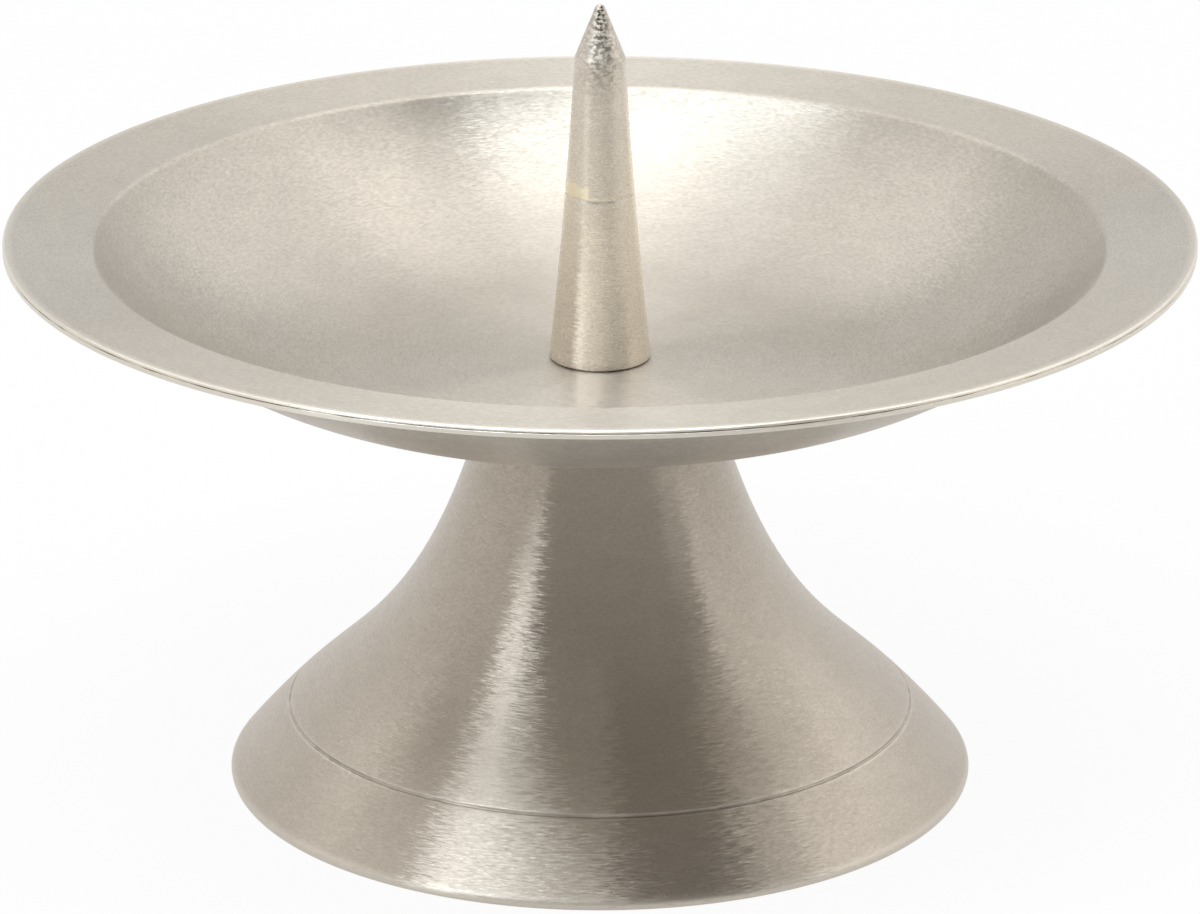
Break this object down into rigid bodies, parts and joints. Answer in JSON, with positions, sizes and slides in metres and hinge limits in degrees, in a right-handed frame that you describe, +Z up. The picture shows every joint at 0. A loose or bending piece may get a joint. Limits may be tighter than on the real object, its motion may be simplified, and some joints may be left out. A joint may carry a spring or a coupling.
{
  "type": "candle plate",
  "caption": "Round footed candle plate: a shallow flat-rimmed dish with a pointed candle spike, bolted to a flared trumpet foot.",
  "frame": {"origin": "centre of the foot's base, on the surface that the plate stands on", "axes": "+Z up along the axis of the foot, the dish and the spike"},
  "size_m": [0.11, 0.11, 0.075],
  "materials": {
    "satin_nickel": "satin nickel, brushed round the axis",
    "turned_nickel": "turned, nickel plated, slightly worn",
    "zinc_plate": "bright zinc plate"
  },
  "bodies": {
    "root": {"dish": "satin_nickel", "foot": "satin_nickel", "spike": "turned_nickel", "flat_washer": "zinc_plate", "spring_washer": "zinc_plate", "hex_nut": "zinc_plate"}
  },
  "joints": []
}
